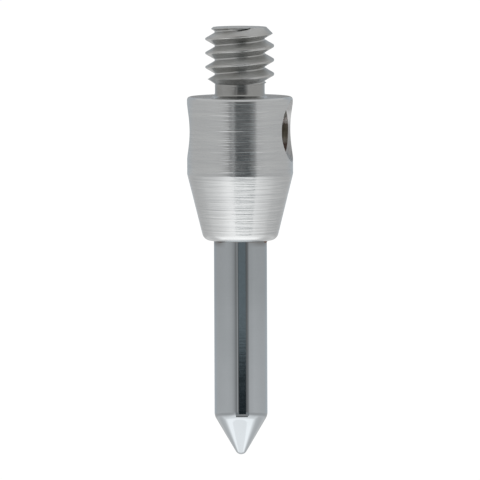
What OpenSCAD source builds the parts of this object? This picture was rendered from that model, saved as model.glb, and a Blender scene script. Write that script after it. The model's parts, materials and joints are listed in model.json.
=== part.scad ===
// A pointer stylus for a touch probe: a turned holder with a threaded stud on top, and a
// ground carbide stem that is bonded into it from below and ends in a point.
// Lengths are in millimetres and angles in degrees. The origin is the centre of the seat
// face around the stud, +Z runs up the stud, and the stem points down.

/* [Thread stud] */
// Height of the stud above the seat
stud_h = 1.97; // [1.5:0.01:4]
// Outside diameter of the thread
thread_d = 1.95; // [1.6:0.05:2.3]
// Diameter at the foot of the thread
thread_root_d = 1.42; // [1.2:0.02:1.5]
// Rise of the thread in one turn
thread_pitch = 0.4; // [0.3:0.05:0.5]
// Width of the flat along the crest
crest_w = 0.05; // [0.02:0.01:0.08]
// Width of the flat along the root
root_w = 0.044; // [0.02:0.002:0.08]
// Height of a crest above the seat, on the +X side
crest_z = 0.237; // [0:0.001:0.4]
// Diameter of the end face, inside its 45 degree chamfer
end_face_d = 1.52; // [1:0.01:1.58]
// Diameter of the plain neck under the thread
neck_d = 1.41; // [1.1:0.01:1.5]
// Height of the neck
neck_h = 0.365; // [0.2:0.005:0.8]
// Rounding at the foot of the neck, where it meets the seat
foot_r = 0.12; // [0.03:0.01:0.15]
// Slope of the wall between the neck and the lowest crest
neck_wall_angle = 33; // [5:1:45]

/* [Body] */
// Diameter of the body
body_d = 3; // [2.5:0.1:4]
// Height of the body, from its underside to the seat
body_h = 4.075; // [3.6:0.005:6]
// Height of the cylindrical part of the body, under the seat
barrel_h = 2.19; // [1.9:0.005:3]
// Diameter of the underside, where the taper would meet it
nose_d = 2.06; // [1.8:0.02:2.4]
// Rounding of the rim around the seat
rim_r = 0.09; // [0.02:0.01:0.12]
// Rounding of the edge around the underside
nose_r = 0.235; // [0.05:0.005:0.25]

/* [Cross hole] */
// Diameter of the hole that takes a tightening pin
pin_hole_d = 1.3; // [0.8:0.05:1.5]
// Depth of the hole's axis below the seat
pin_hole_drop = 0.96; // [0.9:0.01:1.2]
// Diameter of each countersink, level with the side of the body
sink_d = 1.76; // [1.55:0.01:1.78]
// Full angle of each countersink
sink_angle = 90; // [70:1:110]
// Turn of the hole's axis about the stylus, from +X towards -Y
pin_hole_turn = 10; // [-90:1:90]

/* [Stem] */
// Diameter of the stem
stem_d = 1.5; // [1:0.05:1.7]
// Length of stem and point below the body
stem_out = 6.08; // [3:0.005:12]
// Full angle of the point
point_angle = 61; // [40:1:90]
// Radius of the round tip
tip_r = 0.175; // [0.05:0.005:0.25]
// Rounding between the stem and the point
shoulder_r = 0.3; // [0.05:0.01:0.45]
// Chamfer around the end of the stem inside the body
stem_chamfer = 0.1; // [0.02:0.01:0.2]

/* [Bond] */
// Thickness of the adhesive around the stem
bond_gap = 0.03; // [0.02:0.005:0.06]
// Height of the bead of adhesive on the stem, below the body
bead_h = 0.03; // [0.01:0.01:0.1]
// Spread of the bead over the underside of the body
bead_w = 0.02; // [0.01:0.01:0.06]
// Full angle of the drill point that ends the stem's hole
drill_angle = 118; // [100:1:140]
// Metal left between that drill point and the cross hole
web_h = 0.24; // [0.1:0.01:0.4]

/* [Hidden] */
$fn = 96;

// Columns of the thread in one turn, and corners of its section in one pitch
thread_columns = 48;
thread_corners = 4;
// How far a cut runs past the face that it opens
cut_margin = 0.5;
// How far past an arc the cut that rounds a corner runs, as a multiple of the arc's radius
corner_reach = 1.5;
// How far the neck runs up inside the thread, so that the two join
neck_lap = 0.02;

body_r = body_d / 2;
nose_z = -body_h;
neck_r = neck_d / 2;
stem_r = stem_d / 2;
pin_hole_r = pin_hole_d / 2;

// The stem's hole, and the stem's hidden end at the foot of its drill point
stem_hole_r = stem_r + bond_gap;
drill_h = stem_hole_r / tan(drill_angle / 2);
drill_tip_z = -pin_hole_drop - pin_hole_r - web_h;
stem_top_z = drill_tip_z - drill_h;

// The taper of the nose, and the arc that rounds its edge without reaching the bead
taper_angle = atan((body_r - nose_d / 2) / (body_h - barrel_h));
nose_arc_share = 1 / cos(taper_angle) - tan(taper_angle);
nose_arc_r = min(nose_r, (nose_d / 2 - stem_hole_r - bead_w) / nose_arc_share);
nose_arc = [nose_d / 2 - nose_arc_r * nose_arc_share, nose_z + nose_arc_r];

// The point: its half angle, the tip's arc and the arc that joins it to the stem
point_half = point_angle / 2;
tip_z = nose_z - stem_out;
tip_arc = [0, tip_z + tip_r];
point_apex_z = tip_arc[1] - tip_r / sin(point_half);
shoulder_z = point_apex_z + stem_r / tan(point_half);
shoulder_arc = [stem_r - shoulder_r, shoulder_z + shoulder_r * tan(point_half / 2)];

// One pitch of the thread's section: radius, and height from the middle of the crest
thread_section = [
    [thread_d / 2, -crest_w / 2],
    [thread_d / 2, crest_w / 2],
    [thread_root_d / 2, (thread_pitch - root_w) / 2],
    [thread_root_d / 2, (thread_pitch + root_w) / 2]
];
// The threaded rod starts below the seat and ends above the stud, to be trimmed at both ends
rod_start_z = crest_z - 2 * thread_pitch;
rod_turns = ceil((stud_h - rod_start_z) / thread_pitch) + 1;
rod_rows = thread_corners * rod_turns;

// A corner of the threaded rod, which climbs by one pitch over a full turn of columns
function rod_point(row, column) =
    let (
        corner = thread_section[row % thread_corners],
        pitches = floor(row / thread_corners) + column / thread_columns,
        turn = 360 * column / thread_columns
    )
    [corner[0] * cos(turn), corner[0] * sin(turn), rod_start_z + pitches * thread_pitch + corner[1]];

// Where a corner stands in the rod's list of points: the first column also holds the last one's rows
function rod_index(row, column) =
    column == 0 ? row
    : column == thread_columns ? row + thread_corners
    : (rod_rows + thread_corners + 1) + (column - 1) * (rod_rows + 1) + row;

// A long right-hand threaded rod, closed by a fan of triangles at each end
module threaded_rod() {
    last = thread_columns - 1;
    first_column = [for (row = [0 : rod_rows + thread_corners]) rod_point(row, 0)];
    other_columns = [for (column = [1 : last], row = [0 : rod_rows]) rod_point(row, column)];
    foot = [0, 0, rod_start_z + thread_pitch / 2];
    head = foot + [0, 0, rod_turns * thread_pitch];
    foot_index = len(first_column) + len(other_columns);
    head_index = foot_index + 1;
    wall = [
        for (column = [0 : last], row = [0 : rod_rows - 1])
        let (
            low_left = rod_index(row, column),
            low_right = rod_index(row, column + 1),
            high_left = rod_index(row + 1, column),
            high_right = rod_index(row + 1, column + 1)
        )
        each [[low_left, high_left, high_right], [low_left, high_right, low_right]]
    ];
    foot_fan = [
        for (column = [0 : last]) [foot_index, rod_index(0, column), rod_index(0, column + 1)],
        for (row = [0 : thread_corners - 1]) [foot_index, row + 1, row]
    ];
    head_fan = [
        for (column = [0 : last])
            [head_index, rod_index(rod_rows, column + 1), rod_index(rod_rows, column)],
        for (row = [rod_rows : rod_rows + thread_corners - 1]) [head_index, row, row + 1]
    ];
    polyhedron(
        points = concat(first_column, other_columns, [foot, head]),
        faces = concat(wall, foot_fan, head_fan)
    );
}

// The space the thread keeps: a cone over the neck, and a chamfered end
module thread_space() {
    outer_r = thread_d / 2 + cut_margin;
    slope = tan(neck_wall_angle);
    rotate_extrude() polygon([
        [0, neck_h - neck_r * slope],
        [outer_r, neck_h + (outer_r - neck_r) * slope],
        [outer_r, stud_h - (outer_r - end_face_d / 2)],
        [end_face_d / 2, stud_h],
        [0, stud_h]
    ]);
}

module thread() {
    intersection() {
        threaded_rod();
        thread_space();
    }
}

// Takes off what lies outside an arc, between the directions of its two ends
module round_off(centre, r, from, to) {
    reach = corner_reach * r;
    middle = (from + to) / 2;
    translate(centre) difference() {
        polygon([
            [0, 0],
            reach * [cos(from), sin(from)],
            reach / cos((to - from) / 2) * [cos(middle), sin(middle)],
            reach * [cos(to), sin(to)]
        ]);
        circle(r);
    }
}

// Half of the turned body and neck, rounded at the neck's foot, at the seat's rim and at the nose
module body_section() {
    difference() {
        polygon([
            [0, neck_h + neck_lap],
            [neck_r, neck_h + neck_lap],
            [neck_r, foot_r],
            [neck_r + foot_r, 0],
            [body_r, 0],
            [body_r, -barrel_h],
            [nose_d / 2, nose_z],
            [0, nose_z]
        ]);
        translate([neck_r + foot_r, foot_r]) circle(foot_r);
        round_off([body_r - rim_r, -rim_r], rim_r, 0, 90);
        round_off(nose_arc, nose_arc_r, -90, -taper_angle);
    }
}

// The hole for the tightening pin, right through the body and countersunk at both sides
module cross_hole() {
    spread = tan(sink_angle / 2);
    sink_start = body_r - (sink_d / 2 - pin_hole_r) / spread;
    reach = body_r + cut_margin;
    mouth_r = sink_d / 2 + cut_margin * spread;
    translate([0, 0, -pin_hole_drop])
        rotate([0, 0, -pin_hole_turn])
            rotate([0, 90, 0])
                rotate_extrude() polygon([
                    [0, -reach],
                    [mouth_r, -reach],
                    [pin_hole_r, -sink_start],
                    [pin_hole_r, sink_start],
                    [mouth_r, reach],
                    [0, reach]
                ]);
}

// The drilled hole for the stem
module stem_hole() {
    rotate_extrude() polygon([
        [0, nose_z - cut_margin],
        [stem_hole_r, nose_z - cut_margin],
        [stem_hole_r, stem_top_z],
        [0, drill_tip_z]
    ]);
}

module holder() {
    color("silver") union() {
        difference() {
            rotate_extrude() body_section();
            cross_hole();
            stem_hole();
        }
        thread();
    }
}

// Half of the stem, with round corners at its shoulder and tip
module stem_section() {
    difference() {
        polygon([
            [0, stem_top_z],
            [stem_r - stem_chamfer, stem_top_z],
            [stem_r, stem_top_z - stem_chamfer],
            [stem_r, shoulder_z],
            [0, point_apex_z]
        ]);
        round_off(shoulder_arc, shoulder_r, -point_half, 0);
        round_off(tip_arc, tip_r, point_half - 180, -point_half);
    }
}

module stem() {
    color("slategray") rotate_extrude() stem_section();
}

// Set adhesive: a thin sleeve with a cap in the drill point and a bead at the mouth of the hole
module adhesive() {
    color("saddlebrown") rotate_extrude() polygon([
        [0, stem_top_z],
        [stem_r - stem_chamfer, stem_top_z],
        [stem_r, stem_top_z - stem_chamfer],
        [stem_r, nose_z - bead_h],
        [stem_hole_r + bead_w, nose_z],
        [stem_hole_r, nose_z],
        [stem_hole_r, stem_top_z],
        [0, drill_tip_z]
    ]);
}

holder();
stem();
adhesive();
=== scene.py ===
"""A pointer stylus for a touch probe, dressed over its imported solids.

The turned holder, the ground stem and the set adhesive are rebuilt as fine meshes. They are
drawn in millimetres in the part's own frame, and brought to metres when they are done.
"""

import json
import math

import bmesh
import bpy
import numpy as np
from mathutils import Matrix, Vector, noise

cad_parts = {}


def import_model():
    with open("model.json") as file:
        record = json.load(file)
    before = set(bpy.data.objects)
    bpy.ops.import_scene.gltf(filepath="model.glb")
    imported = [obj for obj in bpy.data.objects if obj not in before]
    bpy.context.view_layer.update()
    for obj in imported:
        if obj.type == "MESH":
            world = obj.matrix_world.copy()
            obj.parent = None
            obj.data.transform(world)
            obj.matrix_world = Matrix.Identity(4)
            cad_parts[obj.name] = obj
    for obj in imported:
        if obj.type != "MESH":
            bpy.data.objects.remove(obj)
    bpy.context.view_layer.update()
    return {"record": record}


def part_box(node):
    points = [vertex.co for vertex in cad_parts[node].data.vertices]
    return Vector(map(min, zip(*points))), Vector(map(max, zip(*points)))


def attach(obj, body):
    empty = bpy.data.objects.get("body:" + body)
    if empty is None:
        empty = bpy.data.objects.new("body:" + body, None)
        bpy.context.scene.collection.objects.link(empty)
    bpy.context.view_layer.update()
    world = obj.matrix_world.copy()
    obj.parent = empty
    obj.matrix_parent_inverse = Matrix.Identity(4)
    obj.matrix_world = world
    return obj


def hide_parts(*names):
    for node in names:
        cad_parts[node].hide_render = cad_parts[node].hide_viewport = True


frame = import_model()

MM = 0.001


def box_in_mm(node):
    """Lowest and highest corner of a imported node, in millimetres."""
    low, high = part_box(node)
    return low / MM, high / MM


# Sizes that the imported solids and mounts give, in millimetres
mounts = {mount["name"]: mount for mount in frame["record"]["mounts"]}
holder_low, holder_high = box_in_mm("holder")
stem_low, stem_high = box_in_mm("stem")
adhesive_low, adhesive_high = box_in_mm("adhesive")
BODY_R = holder_high.x
STUD_TOP = holder_high.z
NOSE_Z = holder_low.z
STEM_R = stem_high.x
STEM_TOP = stem_high.z
TIP_Z = stem_low.z
DRILL_TIP = adhesive_high.z
BEAD_H = NOSE_Z - adhesive_low.z
BEAD_R = adhesive_high.x
CREST_R = mounts["thread_stud"]["dims"]["r_mm"]
SEAT_R = mounts["seat_face"]["dims"]["r_mm"]
HOLE_R = mounts["tool_hole"]["dims"]["r_mm"]
HOLE_HALF = mounts["tool_hole"]["dims"]["length_mm"] / 2
HOLE_AXIS = Vector(mounts["tool_hole"]["axis"])
HOLE_Z = mounts["tool_hole"]["pos_m"][2] / MM

# The thread, neck and chamfer of the stud
PITCH = 0.4
ROOT_R = 0.71
CREST_W = 0.05
ROOT_W = 0.044
CREST_Z = 0.237
CREST_ROUND = 0.028
ROOT_ROUND = 0.03
END_R = 0.76
NECK_R = 0.705
NECK_H = 0.365
NECK_WALL = math.radians(33)
FOOT_ROUND = 0.12

# The slit at the end of the last groove: where it lies in the turn, its height and its sizes
SLIT_TURN = 0.785
SLIT_HALF = 0.05
SLIT_Z = 1.932
SLIT_SLOPE = 0.75
SLIT_HALF_H = 0.016
SLIT_DEEP = 0.16

# The body's knee, taper, nose and bore
KNEE_Z = -2.19
KNEE_ROUND = 0.14
NOSE_R = 1.03
NOSE_ROUND = 0.235
BORE_R = 0.78
BORE_EDGE = 0.012

# The stem's point: its cone, where the cone would end and begin if it were sharp, and the stem's end
POINT_HALF = math.radians(30.5)
TIP_ROUND = 0.175
SHOULDER_ROUND = 0.3
POINT_APEX = TIP_Z + TIP_ROUND - TIP_ROUND / math.sin(POINT_HALF)
POINT_TOP = POINT_APEX + STEM_R / math.tan(POINT_HALF)
STEM_CHAMFER = 0.1

# Drops on the bead of adhesive: their place as a share of a turn, their width and their size
BEAD_DROPS = ((0.612, 0.024, 0.8), (0.945, 0.013, 2.2), (0.30, 0.03, 1.2))
# The bead's least growth, the most of it that counts across, and how hollow the bead's side is
BEAD_LEAST = 0.25
BEAD_WIDEST = 1.6
BEAD_HOLLOW = 0.3

# How fine the meshes are: columns in a turn, longest steps along a section, and angle of one arc step
COLUMNS = 192
ROW_STEP = 0.1
THREAD_STEP = 0.014
UNDIVIDED = 10.0
ARC_STEP = math.radians(7)
TIP_STEPS = 12
BEAD_STEPS = 4
WELD = 1e-5
SHARP_ANGLE = math.radians(33)
# How far the hole's cutter runs past the body, and how near to the hole's wall a face counts as its own
CUTTER_PAST = 0.5
ZONE_NEAR = 0.005


# Sections, as points of radius and height

def corner_arc(before, corner, after, radius):
    """Points of the arc that rounds a corner between its two neighbours."""
    to_before = (before - corner).normalized()
    to_after = (after - corner).normalized()
    half = to_before.angle(to_after) / 2
    centre = corner + (to_before + to_after).normalized() * (radius / math.sin(half))
    start = corner + to_before * (radius / math.tan(half)) - centre
    end = corner + to_after * (radius / math.tan(half)) - centre
    sweep = math.atan2(start.x * end.y - start.y * end.x, start.dot(end))
    steps = max(2, round(abs(sweep) / ARC_STEP))
    return [centre + Matrix.Rotation(sweep * i / steps, 2) @ start for i in range(steps + 1)]


def section(corners, step=ROW_STEP):
    """An outline through corners of radius, height and rounding, with its long sides divided."""
    points = [Vector(corner[:2]) for corner in corners]
    outline = [points[0]]
    for index in range(1, len(points) - 1):
        rounding = corners[index][2]
        if rounding:
            outline += corner_arc(points[index - 1], points[index], points[index + 1], rounding)
        else:
            outline.append(points[index])
    outline.append(points[-1])
    divided = [outline[0]]
    for start, end in zip(outline, outline[1:]):
        parts = max(1, math.ceil((end - start).length / step))
        divided += [start.lerp(end, part / parts) for part in range(1, parts + 1)]
    return divided


def thread_profile():
    """Heights over one pitch, from the middle of a crest, and the thread's radius at each."""
    corners = [
        (ROOT_R, -PITCH / 2, 0),
        (ROOT_R, -(PITCH - ROOT_W) / 2, ROOT_ROUND),
        (CREST_R, -CREST_W / 2, CREST_ROUND),
        (CREST_R, CREST_W / 2, CREST_ROUND),
        (ROOT_R, (PITCH - ROOT_W) / 2, ROOT_ROUND),
        (ROOT_R, PITCH / 2, 0),
    ]
    outline = section(corners, THREAD_STEP)
    return [point.y for point in outline], [point.x for point in outline]


# Meshes, made of columns of points around the axis

def spun(radius, height, share):
    """A point of a section, turned about the axis by a share of a full turn."""
    angle = 2 * math.pi * share
    return Vector((radius * math.cos(angle), radius * math.sin(angle), height))


def add_skin(mesh, columns, shift=0):
    """Joins columns of points by faces all round; the last one meets the first some rows higher."""
    corners = [[mesh.verts.new(point) for point in column] for column in columns]
    for index, column in enumerate(corners):
        last = index == len(corners) - 1
        other = corners[0][shift:] if last else corners[index + 1]
        for row in range(min(len(column), len(other)) - 1):
            mesh.faces.new((column[row], other[row], other[row + 1], column[row + 1]))


def add_lathe(mesh, outline):
    """Turns an outline about the axis."""
    add_skin(mesh, [
        [spun(point.x, point.y, index / COLUMNS) for point in outline]
        for index in range(COLUMNS)
    ])


def weld(mesh):
    """Merges points that lie on each other, and turns every face outwards."""
    bmesh.ops.remove_doubles(mesh, verts=mesh.verts, dist=WELD)
    bmesh.ops.dissolve_degenerate(mesh, edges=mesh.edges, dist=WELD)
    bmesh.ops.recalc_face_normals(mesh, faces=mesh.faces)


def new_object(name, mesh):
    """A linked object that holds a finished bmesh."""
    data = bpy.data.meshes.new(name)
    mesh.to_mesh(data)
    mesh.free()
    made = bpy.data.objects.new(name, data)
    bpy.context.scene.collection.objects.link(made)
    return made


def finish_piece(piece, node):
    """Brings a piece from millimetres to metres, shades it, and puts it in the place of its node."""
    piece.data.transform(Matrix.Scale(MM, 4))
    piece.data.shade_smooth()
    piece.data.set_sharp_from_angle(angle=SHARP_ANGLE)
    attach(piece, "root")
    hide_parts(node)


# The holder

def body_outline():
    """The turned body, from the axis at the top of the neck down to the drill point of its bore."""
    return section([
        (0, NECK_H, 0),
        (NECK_R, NECK_H, 0),
        (NECK_R, 0, FOOT_ROUND),
        (BODY_R, 0, BODY_R - SEAT_R),
        (BODY_R, KNEE_Z, KNEE_ROUND),
        (NOSE_R, NOSE_Z, NOSE_ROUND),
        (BORE_R, NOSE_Z, BORE_EDGE),
        (BORE_R, STEM_TOP, 0),
        (0, DRILL_TIP, 0),
    ])


def hole_cutter():
    """The cross hole with a countersink at each end, as a solid along its axis."""
    reach = BODY_R + CUTTER_PAST
    mouth_r = HOLE_R + reach - HOLE_HALF
    mesh = bmesh.new()
    add_lathe(mesh, section([
        (0, -reach, 0),
        (mouth_r, -reach, 0),
        (HOLE_R, -HOLE_HALF, 0),
        (HOLE_R, HOLE_HALF, 0),
        (mouth_r, reach, 0),
        (0, reach, 0),
    ]))
    weld(mesh)
    to_axis = Vector((0, 0, 1)).rotation_difference(HOLE_AXIS).to_matrix().to_4x4()
    bmesh.ops.transform(mesh, verts=mesh.verts, matrix=Matrix.Translation((0, 0, HOLE_Z)) @ to_axis)
    return new_object("hole_cutter", mesh)


def cut_body():
    """The turned body with the cross hole cut through it, and the cap over its neck left open."""
    mesh = bmesh.new()
    add_lathe(mesh, body_outline())
    weld(mesh)
    body = new_object("holder", mesh)
    cutter = hole_cutter()
    modifier = body.modifiers.new("cross_hole", "BOOLEAN")
    modifier.object = cutter
    modifier.operation = "DIFFERENCE"
    modifier.solver = "EXACT"
    graph = bpy.context.evaluated_depsgraph_get()
    cut = bmesh.new()
    cut.from_object(body, graph)
    bpy.data.objects.remove(body)
    bpy.data.objects.remove(cutter)
    cap = [face for face in cut.faces if face.calc_center_median().z > NECK_H - WELD]
    bmesh.ops.delete(cut, geom=cap, context="FACES")
    return cut


def slit_depth(share, height):
    """Depth of the fine slit that the last groove leaves in the chamfered end, at a share of a turn."""
    along = (share - SLIT_TURN) / SLIT_HALF
    across = (height - SLIT_Z - SLIT_SLOPE * (share - SLIT_TURN)) / SLIT_HALF_H
    return SLIT_DEEP * np.clip(1.3 * (1 - along ** 2), 0, 1) * np.clip(1.6 * (1 - np.abs(across)), 0, 1)


def add_thread(mesh):
    """The right-hand thread, trimmed by the wall over the neck and by the chamfered end."""
    heights, radii = thread_profile()
    rows = len(heights) - 1
    first = math.floor((NECK_H - CREST_Z) / PITCH) - 1
    last = math.ceil((STUD_TOP - CREST_Z) / PITCH) + 1
    levels = [CREST_Z + pitch * PITCH + height for pitch in range(first, last) for height in heights[:-1]]
    columns = []
    for index in range(COLUMNS):
        rise = PITCH * index / COLUMNS
        height = np.clip(np.array(levels) + rise, NECK_H, STUD_TOP)
        crest = np.interp(height - rise - CREST_Z, heights, radii, period=PITCH)
        wall_over_neck = NECK_R + (height - NECK_H) / math.tan(NECK_WALL)
        chamfer = END_R + STUD_TOP - height
        trimmed = np.minimum(np.minimum(crest, wall_over_neck), chamfer)
        radius = trimmed - slit_depth(index / COLUMNS, height)
        columns.append([spun(r, z, index / COLUMNS) for r, z in zip(radius, height)])
    add_skin(mesh, columns, rows)
    end_rim = [column[-1] for column in columns]
    centre = Vector((0, 0, STUD_TOP))
    add_skin(mesh, [[rim, rim.lerp(centre, 0.1), rim.lerp(centre, 0.5), centre] for rim in end_rim])


def hole_zone(point):
    """The holder's material at a point: 0 on the turned skin, 1 in a countersink, 2 in the drilled hole."""
    offset = point - Vector((0, 0, HOLE_Z))
    along = offset.dot(HOLE_AXIS)
    across = (offset - HOLE_AXIS * along).length
    from_wall = across - HOLE_R - max(0, abs(along) - HOLE_HALF)
    if abs(from_wall) > ZONE_NEAR or abs(along) > BODY_R:
        return 0
    return 1 if abs(along) > HOLE_HALF else 2


def make_holder():
    """The stainless holder, with materials for its turned skin, its countersinks and its hole."""
    mesh = cut_body()
    add_thread(mesh)
    weld(mesh)
    piece = new_object("holder_turned", mesh)
    for material in (turned_stainless(), countersink_stainless(), drilled_stainless()):
        piece.data.materials.append(material)
    for face in piece.data.polygons:
        face.material_index = hole_zone(face.center)
    finish_piece(piece, "holder")


# The stem and the adhesive

def make_stem():
    """The ground carbide stem, from its hidden end to the round tip."""
    tip_centre = Vector((0, TIP_Z + TIP_ROUND))
    outline = section([
        (0, STEM_TOP, 0),
        (STEM_R - STEM_CHAMFER, STEM_TOP, 0),
        (STEM_R, STEM_TOP - STEM_CHAMFER, 0),
        (STEM_R, POINT_TOP, SHOULDER_ROUND),
        (TIP_ROUND * math.cos(POINT_HALF), tip_centre.y - TIP_ROUND * math.sin(POINT_HALF), 0),
    ])
    for index in range(1, TIP_STEPS + 1):
        angle = POINT_HALF + (math.pi / 2 - POINT_HALF) * index / TIP_STEPS
        outline.append(tip_centre + TIP_ROUND * Vector((math.cos(angle), -math.sin(angle))))
    mesh = bmesh.new()
    add_lathe(mesh, outline)
    weld(mesh)
    piece = new_object("stem_ground", mesh)
    piece.data.materials.append(polished_carbide())
    finish_piece(piece, "stem")


def bead_growth(share):
    """How much larger than its even size the bead is at a share of a turn: small waves and drops."""
    round_trip = spun(1.3, 0, share)
    waves = 0.5 + 0.9 * noise.noise(round_trip) + 0.5 * noise.noise(3 * round_trip)
    drops = 0
    for place, width, size in BEAD_DROPS:
        apart = (share - place + 0.5) % 1 - 0.5
        drops += size * math.exp(-(apart / width) ** 2)
    return max(BEAD_LEAST, waves) + drops


def adhesive_outline(growth):
    """The adhesive's section: a sleeve and cap around the stem's end, and a hollow bead at the mouth."""
    outer = BORE_R + (BEAD_R - BORE_R) * min(growth, BEAD_WIDEST)
    foot = NOSE_Z - BEAD_H * growth
    outline = section([
        (0, DRILL_TIP, 0),
        (BORE_R, STEM_TOP, 0),
        (BORE_R, NOSE_Z, 0),
        (outer, NOSE_Z, 0),
    ], UNDIVIDED)
    hollow = Vector((outer, foot)).lerp(Vector((STEM_R, NOSE_Z)), BEAD_HOLLOW)
    for index in range(1, BEAD_STEPS + 1):
        step = index / BEAD_STEPS
        side = Vector((outer, NOSE_Z)).lerp(hollow, step)
        other = hollow.lerp(Vector((STEM_R, foot)), step)
        outline.append(side.lerp(other, step))
    inside = section([
        (STEM_R, foot, 0),
        (STEM_R, STEM_TOP - STEM_CHAMFER, 0),
        (STEM_R - STEM_CHAMFER, STEM_TOP, 0),
        (0, STEM_TOP, 0),
    ], UNDIVIDED)
    return outline + inside[1:]


def make_adhesive():
    """The set adhesive, with an uneven bead where the stem leaves the holder."""
    columns = []
    for index in range(COLUMNS):
        share = index / COLUMNS
        outline = adhesive_outline(bead_growth(share))
        columns.append([spun(point.x, point.y, share) for point in outline])
    mesh = bmesh.new()
    add_skin(mesh, columns)
    weld(mesh)
    piece = new_object("adhesive_bead", mesh)
    piece.data.materials.append(set_adhesive())
    finish_piece(piece, "adhesive")


# Shader nodes

def add_node(tree, kind, inputs=None, **settings):
    """Adds a node with its settings; each input is a value, or a socket that is linked to it."""
    made = tree.nodes.new(kind)
    for key, value in settings.items():
        setattr(made, key, value)
    for key, value in (inputs or {}).items():
        if isinstance(value, bpy.types.NodeSocket):
            tree.links.new(value, made.inputs[key])
        else:
            made.inputs[key].default_value = value
    return made


def number(tree, operation, *values):
    """The number that an operation on numbers gives."""
    return add_node(tree, "ShaderNodeMath", dict(enumerate(values)), operation=operation).outputs[0]


def vector(tree, operation, *values):
    """The vector that an operation on vectors gives."""
    return add_node(tree, "ShaderNodeVectorMath", dict(enumerate(values)), operation=operation).outputs[0]


def measure(tree, operation, *values):
    """The number that an operation on vectors gives."""
    made = add_node(tree, "ShaderNodeVectorMath", dict(enumerate(values)), operation=operation)
    return made.outputs["Value"]


def split(tree, place):
    """The X, Y and Z of a vector."""
    return add_node(tree, "ShaderNodeSeparateXYZ", {0: place}).outputs


def joined(tree, x, y, z):
    """A vector of three numbers."""
    return add_node(tree, "ShaderNodeCombineXYZ", {0: x, 1: y, 2: z}).outputs[0]


def millimetres(tree):
    """The place on the piece, in millimetres of the part's frame."""
    place = add_node(tree, "ShaderNodeTexCoord").outputs["Object"]
    scaled = add_node(tree, "ShaderNodeVectorMath", {0: place, "Scale": 1 / MM}, operation="SCALE")
    return scaled.outputs[0]


def stretched_noise(tree, place, stretch, detail=2.0):
    """Noise over a place whose three directions are scaled by their own factors."""
    scaled = vector(tree, "MULTIPLY", place, stretch)
    made = add_node(tree, "ShaderNodeTexNoise", {"Vector": scaled, "Scale": 1.0, "Detail": detail})
    return made.outputs["Fac"]


def ranged(tree, value, low, high, to_low, to_high):
    """A value carried from one range to another, and held inside it."""
    inputs = {"Value": value, "From Min": low, "From Max": high, "To Min": to_low, "To Max": to_high}
    return add_node(tree, "ShaderNodeMapRange", inputs).outputs["Result"]


def summed(tree, first, second, weight):
    """The first value plus the second one times a weight."""
    return number(tree, "MULTIPLY_ADD", second, weight, first)


def mixed(tree, share, first, second):
    """A colour between two colours, by a share."""
    made = add_node(tree, "ShaderNodeMix", {"Factor": share}, data_type="RGBA")
    sockets = [socket for socket in made.inputs if socket.type == "RGBA"]
    for socket, colour in zip(sockets, (first, second)):
        if isinstance(colour, bpy.types.NodeSocket):
            tree.links.new(colour, socket)
        else:
            socket.default_value = (*colour, 1)
    return next(socket for socket in made.outputs if socket.type == "RGBA")


def between(tree, share, first, second):
    """A number between two numbers, by a share."""
    return add_node(tree, "ShaderNodeMix", {"Factor": share, 2: first, 3: second}).outputs[0]


def stepped(tree, value, stops):
    """Greys or colours along a row of stops, each at its own value."""
    first, last = stops[0][0], stops[-1][0]
    ramp = add_node(tree, "ShaderNodeValToRGB", {"Fac": ranged(tree, value, first, last, 0, 1)})
    elements = ramp.color_ramp.elements
    while len(elements) < len(stops):
        elements.new(0.5)
    for element, (place, light) in zip(elements, stops):
        element.position = (place - first) / (last - first)
        element.color = (*light, 1) if isinstance(light, tuple) else (light, light, light, 1)
    return ramp.outputs["Color"]


def around_axis(tree, place):
    """Coordinates for turned marks: across the axis as they are, and the way along the outline."""
    parts = split(tree, place)
    radius = measure(tree, "LENGTH", vector(tree, "MULTIPLY", place, (1, 1, 0)))
    return joined(tree, parts["X"], parts["Y"], number(tree, "ADD", parts["Z"], radius))


# Materials

def new_material(name):
    """A material, its node tree and its Principled shader."""
    material = bpy.data.materials.new(name)
    material.use_nodes = True
    return material, material.node_tree, material.node_tree.nodes["Principled BSDF"]


def dress(tree, shader, colour, roughness, relief, depth, strength=1.0):
    """Gives a shader its colour, roughness and a relief of so many millimetres; returns the normal."""
    tree.links.new(colour, shader.inputs["Base Color"])
    tree.links.new(roughness, shader.inputs["Roughness"])
    inputs = {"Height": relief, "Strength": strength, "Distance": depth * MM}
    normal = add_node(tree, "ShaderNodeBump", inputs).outputs["Normal"]
    tree.links.new(normal, shader.inputs["Normal"])
    return normal


def lay_marks_around(tree, shader, share):
    """Spreads a shader's reflections across marks that run around the axis, by a share."""
    tangent = add_node(tree, "ShaderNodeTangent", direction_type="RADIAL", axis="Z")
    tree.links.new(tangent.outputs["Tangent"], shader.inputs["Tangent"])
    shader.inputs["Anisotropic"].default_value = share
    shader.inputs["Anisotropic Rotation"].default_value = 0.25


def stainless_colour(tree, lines, blotches, on_neck, on_thread):
    """The holder's colour: by the turning lines on the body, and by blotches on the neck and the thread."""
    body = mixed(tree, ranged(tree, lines, 0.35, 0.65, 0, 1), (0.57, 0.58, 0.585), (0.63, 0.64, 0.64))
    neck = mixed(tree, blotches, (0.34, 0.34, 0.33), (0.40, 0.40, 0.39))
    thread = mixed(tree, blotches, (0.46, 0.46, 0.445), (0.56, 0.565, 0.56))
    return mixed(tree, on_thread, mixed(tree, on_neck, body, neck), thread)


def add_close_lines(tree, marks, height, on_neck, normal):
    """A normal with closer turning lines added on the straight part of the body, over its knee."""
    lines = stretched_noise(tree, marks, (0.8, 0.8, 26), 1)
    on_body = ranged(tree, height, KNEE_Z, KNEE_Z + 0.03, 0, 0.007 * MM)
    depth = between(tree, on_neck, on_body, 0)
    inputs = {"Height": lines, "Distance": depth, "Normal": normal}
    return add_node(tree, "ShaderNodeBump", inputs).outputs["Normal"]


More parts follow.
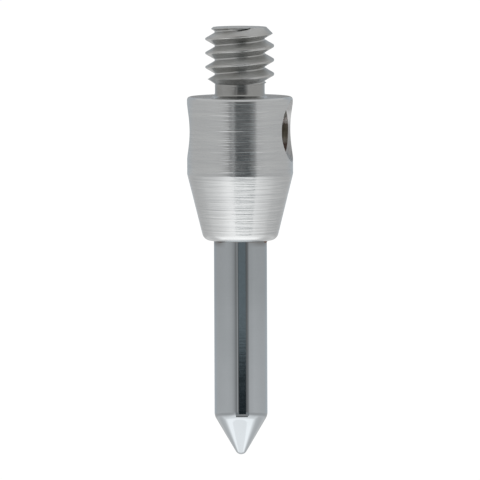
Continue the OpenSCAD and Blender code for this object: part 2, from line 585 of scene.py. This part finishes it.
def turned_stainless():
    """Satin stainless with fine turning lines around it, duller on the neck and rougher on the thread."""
    material, tree, shader = new_material("turned_stainless")
    place = millimetres(tree)
    height = split(tree, place)["Z"]
    marks = around_axis(tree, place)
    lines = stretched_noise(tree, marks, (0.5, 0.5, 15), 3)
    fine = stretched_noise(tree, marks, (0.9, 0.9, 45), 1)
    clouds = stretched_noise(tree, place, (1.6, 1.6, 1.6), 3)
    blotches = ranged(tree, clouds, 0.35, 0.65, 0, 1)
    on_neck = ranged(tree, height, 0.0, 0.03, 0, 1)
    on_thread = ranged(tree, height, NECK_H, NECK_H + 0.04, 0, 1)
    colour = stainless_colour(tree, lines, blotches, on_neck, on_thread)
    satin = ranged(tree, clouds, 0.3, 0.7, 0.13, 0.2)
    facing = add_node(tree, "ShaderNodeNewGeometry").outputs["Normal"]
    upward = ranged(tree, split(tree, facing)["Z"], -0.1, 0.4, 0.07, 0.25)
    roughness = summed(tree, satin, number(tree, "MULTIPLY", on_thread, upward), 1.0)
    normal = dress(tree, shader, colour, roughness, summed(tree, lines, fine, 0.25), 0.009)
    tree.links.new(add_close_lines(tree, marks, height, on_neck, normal), shader.inputs["Normal"])
    lay_marks_around(tree, shader, 0.6)
    shader.inputs["Metallic"].default_value = 1.0
    return material


# The countersinks' painted shade and reflection: greys from the foot of the hole to its top, by height from
# its axis
COUNTERSINK_PAINTED_SHADE = (
    (-0.8, 0.26), (-0.54, 0.31), (-0.26, 0.46), (0, 0.52), (0.17, 0.60),
    (0.4, 0.60), (0.5, 0.56), (0.59, 0.43), (0.76, 0.37), (0.9, 0.36),
)


def countersink_stainless():
    """Stainless with rings left by the countersinking tool, with painted shade that darkens it towards its
    foot and its top.
    """
    material, tree, shader = new_material("countersink_stainless")
    place = millimetres(tree)
    parts = split(tree, place)
    offset = vector(tree, "SUBTRACT", place, (0, 0, HOLE_Z))
    radius = measure(tree, "LENGTH", vector(tree, "CROSS_PRODUCT", offset, HOLE_AXIS))
    rings = stretched_noise(tree, joined(tree, parts["Y"], parts["Z"], radius), (0.8, 0.8, 30), 2)
    # Painted shade and reflection: the steel's colour is darker towards the foot and the top of the
    # countersink, by height
    painted_shade = stepped(tree, split(tree, offset)["Z"], COUNTERSINK_PAINTED_SHADE)
    colour = mixed(tree, ranged(tree, rings, 0.35, 0.65, 0, 0.18), painted_shade, (0.95, 0.95, 0.94))
    dress(tree, shader, colour, ranged(tree, rings, 0.3, 0.7, 0.18, 0.32), rings, 0.003)
    shader.inputs["Metallic"].default_value = 1.0
    return material


# The drilled wall's colours from the foot of the hole to its top, by height from its axis: brown film, with
# painted reflection and shade in bands and a pale painted highlight band above the axis
DRILLED_FILM_AND_PAINTED_LIGHT = (
    (-HOLE_R, (0.34, 0.23, 0.20)), (-0.36, (0.38, 0.28, 0.25)), (-0.30, (0.58, 0.54, 0.49)),
    (-0.21, (0.56, 0.52, 0.47)), (-0.15, (0.42, 0.39, 0.32)), (0.18, (0.40, 0.375, 0.31)),
    (0.25, (0.97, 0.96, 0.94)), (0.37, (0.95, 0.94, 0.92)), (0.43, (0.48, 0.47, 0.44)),
    (HOLE_R + 0.1, (0.42, 0.41, 0.38)),
)


def drilled_stainless():
    """The wall of the drilled hole: duller steel with bands of brown film, and bands of painted reflection
    and shade with a pale painted highlight.
    """
    material, tree, shader = new_material("drilled_stainless")
    place = millimetres(tree)
    film = stretched_noise(tree, place, (2.6, 2.6, 2.6), 4)
    scores = stretched_noise(tree, place, (22, 1.5, 1.5), 2)
    height = number(tree, "SUBTRACT", split(tree, place)["Z"], HOLE_Z)
    # Painted reflection and shade: bands by height on the wall, a pale painted highlight band among them,
    # over brown film
    colour = stepped(tree, summed(tree, height, film, 0.1), DRILLED_FILM_AND_PAINTED_LIGHT)
    dress(tree, shader, colour, ranged(tree, film, 0.35, 0.65, 0.28, 0.5), scores, 0.004)
    shader.inputs["Metallic"].default_value = 0.9
    return material


def adhesive_smear(tree, place, clouds):
    """How thick the faint smear of adhesive on the stem is, on two sides under the holder."""
    parts = split(tree, place)
    left = ranged(tree, parts["X"], -0.62, -0.40, 1, 0)
    right = ranged(tree, parts["X"], 0.15, 0.5, 0, 1)
    uneven = summed(tree, parts["Z"], clouds, 0.12)
    fade = ranged(tree, uneven, NOSE_Z - 0.12, NOSE_Z + 0.06, 0, 1)
    return number(tree, "MULTIPLY", number(tree, "ADD", left, right), fade)


def polished_carbide():
    """Ground and polished carbide: a grey mirror with a faint grain and grinding lines."""
    material, tree, shader = new_material("polished_carbide")
    place = millimetres(tree)
    grain = stretched_noise(tree, place, (9, 9, 9), 4)
    lines = stretched_noise(tree, around_axis(tree, place), (0.6, 0.6, 26), 2)
    clouds = stretched_noise(tree, place, (0.9, 0.9, 0.7), 3)
    shade = ranged(tree, clouds, 0.3, 0.7, 0, 1)
    clean = mixed(tree, shade, (0.455, 0.485, 0.503), (0.495, 0.523, 0.545))
    colour = mixed(tree, adhesive_smear(tree, place, clouds), clean, (0.25, 0.245, 0.24))
    dress(tree, shader, colour, ranged(tree, grain, 0.3, 0.7, 0.03, 0.05), lines, 0.0001)
    lay_marks_around(tree, shader, 0.7)
    shader.inputs["Metallic"].default_value = 1.0
    return material


def set_adhesive():
    """Set adhesive: dark reddish brown, a little glossy and uneven."""
    material, tree, shader = new_material("set_adhesive")
    place = millimetres(tree)
    clouds = stretched_noise(tree, place, (5, 5, 5), 3)
    pits = stretched_noise(tree, place, (24, 24, 24), 2)
    shade = ranged(tree, clouds, 0.35, 0.65, 0, 1)
    colour = mixed(tree, shade, (0.045, 0.022, 0.015), (0.17, 0.075, 0.045))
    dress(tree, shader, colour, ranged(tree, pits, 0.3, 0.7, 0.3, 0.55), pits, 0.01, strength=0.6)
    return material


# The studio: a white world and floor, and a light tent with a dark opening on the camera's side

FLOOR_DROP = 20.0
FLOOR_Z = TIP_Z - FLOOR_DROP
FLOOR_R = 900.0
TENT_R = 200.0
TENT_TOP = 120.0
ROOF_LIGHT = (0.72, 0.72, 0.72)
# How the studio is divided, and how far the cards on the floor lie above it
TENT_PARTS = 96
DISC_PARTS = 64
CARD_PARTS = 12
CARD_LIFT = 0.2
# The tent's brightness by direction from the camera's side, in degrees to the right of it
TENT_BACK = (0.48, 0.515, 0.55)
TENT_BEHIND = (0.54, 0.575, 0.605)
TENT_LIGHT = (
    (-180, TENT_BACK), (-150, TENT_BEHIND), (-120, 0.63), (-60, 0.67), (-42, 0.64), (-30, 0.52),
    (-20, 0.30), (-17.5, 0.30), (-16, 0.54), (-13.5, 0.54), (-11.5, 0.18), (24, 0.18), (33, 0.34),
    (37, 0.62), (60, 0.68), (120, 0.63), (150, TENT_BEHIND), (180, TENT_BACK),
)
# What the tent's brightness is multiplied by, by height
TENT_RISE = ((-30, 1.1), (-22, 1.06), (-20, 1.0), (-17.5, 0.89), (-16, 0.88), (-14.5, 0.97), (0, 0.98))
# The floor's brightness: in front by the way across, with a pool at the middle by distance, and
# behind by distance
POOL_MIDDLE = (-1, 0, FLOOR_Z)
POOL_LIGHT = (
    (0, 1.56), (12.3, 1.56), (13, 1.82), (16.5, 1.82), (20, 1.60), (24, 1.15), (28, 0.8), (40, 0.0),
)
ACROSS_LIGHT = (
    (-110, 0.58), (-92, 0.62), (-80, 0.71), (-64, 0.84), (-56, 0.89), (-48, 0.99), (-39, 1.11),
    (-31, 1.25), (-24, 1.39), (-17, 1.36), (-9, 1.46), (0, 1.44), (10, 1.41), (20, 1.31), (25, 1.26),
    (34, 1.15), (44, 1.03), (52, 0.94), (60, 0.86), (69, 0.76), (80, 0.67), (100, 0.58),
)
BACK_LIGHT = (
    (0, 0.60), (30, 0.64), (45, 0.78), (60, 0.78), (69, 0.68), (83, 0.61), (100, 0.60), (200, 0.58),
)
# How the floor's front fades into its back, by depth along a direction
FADE_DIRECTION = (0.1, 1, 0)
FRONT_FADE = ((-2, 1.0), (1.5, 0.66), (6, 0.37), (14, 0.22), (30, 0.13), (60, 0.0))
# The floor's light as the camera sees it, and its paint under that light
FLOOR_WHITE = 1.06
FLOOR_PAINT = (0.9, 0.9, 0.9, 1)
FLOOR_SHINE = 0.9
# The dark cards' light, the distance of the far cards, and the top of the dark one among them
DARK = (0.022, 0.030, 0.034)
CARD_R = 195.0
DARK_TOP = -20.6
# The height where the stem begins to round into its point, and the two small cards near that place
SHOULDER_Z = POINT_TOP + SHOULDER_ROUND * math.tan(POINT_HALF / 2)
FOOT_CARD_R = STEM_R + 0.2
FOOT_TOP = SHOULDER_Z - 0.025
FOOT_MIDDLE = SHOULDER_Z - 0.145
FOOT_LOW = SHOULDER_Z - 0.225
# Standing cards: distance, from and to which direction, from and to which height, and their light
CARDS = {
    "dark_card": (CARD_R, -9, 22, FLOOR_Z, DARK_TOP, DARK),
    "blue_card": (CARD_R, -9, 22, DARK_TOP, -15.5, (0.205, 0.245, 0.265)),
    "back_card": (CARD_R, 169, 191, -1, 28, (0.29, 0.29, 0.29)),
    "foot_card": (FOOT_CARD_R, -14, 19, FOOT_MIDDLE, FOOT_TOP, (0.40, 0.40, 0.40)),
    "foot_edge": (FOOT_CARD_R, -14, 19, FOOT_LOW, FOOT_MIDDLE, (0.13, 0.13, 0.13)),
}
# The distance where one card on the floor meets the next, and the light of the grey ones
SHADE_FAR = 118.0
SHADE = (0.36, 0.39, 0.40)
SHADE_LEFT = (0.30, 0.32, 0.33)
# Cards on the floor: from and to which direction, from and to which distance, and their light
FLOOR_CARDS = {
    "shade_card": (-15, 36, 56, SHADE_FAR, SHADE),
    "shade_left": (-24, -9, SHADE_FAR, TENT_R, SHADE_LEFT),
    "shade_near": (-24, -15, 88, SHADE_FAR, SHADE_LEFT),
    "shade_right": (22, 36, SHADE_FAR, TENT_R, SHADE),
    "shade_dark": (-9, 22, SHADE_FAR, TENT_R, DARK),
}


def emission_material(name, colour):
    """A material that only shines, in one colour."""
    material = bpy.data.materials.new(name)
    material.use_nodes = True
    tree = material.node_tree
    tree.nodes.clear()
    shine = add_node(tree, "ShaderNodeEmission", {"Color": (*colour, 1), "Strength": 1.0})
    add_node(tree, "ShaderNodeOutputMaterial", {"Surface": shine.outputs[0]})
    return material


def stage_piece(name, mesh, material):
    """A piece of the studio, in millimetres, which the camera itself doesn't see."""
    piece = new_object(name, mesh)
    piece.data.transform(Matrix.Scale(MM, 4))
    piece.data.materials.append(material)
    piece.visible_camera = False
    piece.visible_shadow = False
    return piece


def disc(radius, height):
    """A level disc about the axis."""
    mesh = bmesh.new()
    bmesh.ops.create_circle(mesh, cap_ends=True, segments=DISC_PARTS, radius=radius)
    bmesh.ops.translate(mesh, verts=mesh.verts, vec=(0, 0, height))
    return mesh


def ways(start, end, parts):
    """Level directions on an arc, between two in degrees to the right of the camera's side."""
    angles = [math.radians(start + (end - start) * index / parts - 90) for index in range(parts + 1)]
    return [Vector((math.cos(angle), math.sin(angle), 0)) for angle in angles]


def strip(pairs):
    """A strip of faces through pairs of points."""
    mesh = bmesh.new()
    corners = [[mesh.verts.new(point) for point in pair] for pair in pairs]
    for one, other in zip(corners, corners[1:]):
        mesh.faces.new((one[0], other[0], other[1], one[1]))
    return mesh


def wall(radius, low, high, start, end, parts):
    """A standing wall on an arc about the axis."""
    foot, head = Vector((0, 0, low)), Vector((0, 0, high))
    return strip([(foot + radius * way, head + radius * way) for way in ways(start, end, parts)])


def sector(near, far, start, end, parts):
    """A level part of a ring about the axis, just above the floor."""
    lift = Vector((0, 0, FLOOR_Z + CARD_LIFT))
    return strip([(lift + near * way, lift + far * way) for way in ways(start, end, parts)])


def tent():
    """The tent's wall all round, with its brightness by direction, and a little brighter at its foot."""
    material = emission_material("tent_light", (1, 1, 1))
    tree = material.node_tree
    shine = tree.nodes["Emission"]
    place = add_node(tree, "ShaderNodeTexCoord").outputs["Object"]
    quarter = {0: place, "Angle": math.pi / 2}
    turned = add_node(tree, "ShaderNodeVectorRotate", quarter, rotation_type="Z_AXIS")
    direction = add_node(tree, "ShaderNodeTexGradient", {0: turned.outputs[0]}, gradient_type="RADIAL")
    degrees = ranged(tree, direction.outputs["Fac"], 0, 1, -180, 180)
    tree.links.new(stepped(tree, degrees, TENT_LIGHT), shine.inputs["Color"])
    height = split(tree, millimetres(tree))["Z"]
    tree.links.new(stepped(tree, height, TENT_RISE), shine.inputs["Strength"])
    stage_piece("tent", wall(TENT_R, FLOOR_Z, TENT_TOP, -180, 180, TENT_PARTS), material)


def roof():
    """The tent's roof."""
    stage_piece("roof", disc(TENT_R, TENT_TOP), emission_material("roof_light", ROOF_LIGHT))


def cards():
    """The standing cards and the cards on the floor."""
    for name, (distance, start, end, low, high, light) in CARDS.items():
        card = wall(distance, low, high, start, end, CARD_PARTS)
        stage_piece(name, card, emission_material(name, light))
    for name, (start, end, near, far, light) in FLOOR_CARDS.items():
        card = sector(near, far, start, end, CARD_PARTS)
        stage_piece(name, card, emission_material(name, light)).visible_diffuse = False


def seen_rays(tree, rays):
    """One for rays from the camera, off shiny surfaces and through clear ones, and nought for others."""
    seen = number(tree, "MAXIMUM", rays["Is Camera Ray"], rays["Is Glossy Ray"])
    return number(tree, "MAXIMUM", seen, rays["Is Transmission Ray"])


def floor_light(tree):
    """The floor's brightness in the metal: its front with the pool, which fades into its back."""
    place = millimetres(tree)
    apart = measure(tree, "DISTANCE", place, POOL_MIDDLE)
    middle = stepped(tree, apart, POOL_LIGHT)
    across = stepped(tree, split(tree, place)["X"], ACROSS_LIGHT)
    front = number(tree, "MAXIMUM", middle, across)
    fade = stepped(tree, measure(tree, "DOT_PRODUCT", place, FADE_DIRECTION), FRONT_FADE)
    behind = stepped(tree, apart, BACK_LIGHT)
    return between(tree, fade, behind, front)


def floor():
    """A pale floor: white to the camera, with a pool of light for the metal, and clear from below."""
    material = bpy.data.materials.new("pale_floor")
    material.use_nodes = True
    tree = material.node_tree
    tree.nodes.clear()
    rays = add_node(tree, "ShaderNodeLightPath").outputs
    level = between(tree, rays["Is Camera Ray"], floor_light(tree), FLOOR_WHITE)
    shine = add_node(tree, "ShaderNodeEmission", {"Strength": level}).outputs[0]
    paint = add_node(tree, "ShaderNodeBsdfDiffuse", {"Color": FLOOR_PAINT}).outputs[0]
    share = number(tree, "MULTIPLY", seen_rays(tree, rays), FLOOR_SHINE)
    both = add_node(tree, "ShaderNodeMixShader", {0: share, 1: paint, 2: shine}).outputs[0]
    clear = add_node(tree, "ShaderNodeBsdfTransparent").outputs[0]
    under = add_node(tree, "ShaderNodeNewGeometry").outputs["Backfacing"]
    sided = add_node(tree, "ShaderNodeMixShader", {0: under, 1: both, 2: clear}).outputs[0]
    add_node(tree, "ShaderNodeOutputMaterial", {"Surface": sided})
    stage_piece("floor", disc(FLOOR_R, FLOOR_Z), material).visible_camera = True


def world():
    """A white world, which lights the object at a plain level."""
    made = bpy.data.worlds.new("white_world")
    bpy.context.scene.world = made
    made.use_nodes = True
    tree = made.node_tree
    seen = seen_rays(tree, add_node(tree, "ShaderNodeLightPath").outputs)
    background = tree.nodes["Background"]
    background.inputs["Color"].default_value = (1, 1, 1, 1)
    tree.links.new(ranged(tree, seen, 0, 1, 0.8, 1.0), background.inputs["Strength"])


# The camera, at the photograph's angle and framing

PIXELS_PER_MM = 35.3
IMAGE_SIZE = 480
LENS = 1400.0
CAMERA_TARGET = Vector((-0.011, 0, -4.07))
CAMERA_ELEVATION = math.radians(3.6)
CAMERA_ROLL = math.radians(-0.22)
CLIP_NEAR = 10
CLIP_FAR = 2000


def camera():
    """A long lens, so that the picture has next to no perspective."""
    data = bpy.data.cameras.new("camera")
    data.lens = LENS
    width = IMAGE_SIZE / PIXELS_PER_MM
    distance = width * LENS / data.sensor_width
    data.clip_start = CLIP_NEAR * MM
    data.clip_end = CLIP_FAR * MM
    made = bpy.data.objects.new("camera", data)
    back = Vector((0, -math.cos(CAMERA_ELEVATION), math.sin(CAMERA_ELEVATION)))
    turned = (-back).to_track_quat("-Z", "Y").to_matrix().to_4x4() @ Matrix.Rotation(CAMERA_ROLL, 4, "Z")
    made.matrix_world = Matrix.Translation((CAMERA_TARGET + back * distance) * MM) @ turned
    bpy.context.scene.collection.objects.link(made)
    bpy.context.scene.camera = made


make_holder()
make_stem()
make_adhesive()
world()
floor()
tent()
roof()
cards()
camera()
bpy.context.scene.view_settings.view_transform = "Standard"
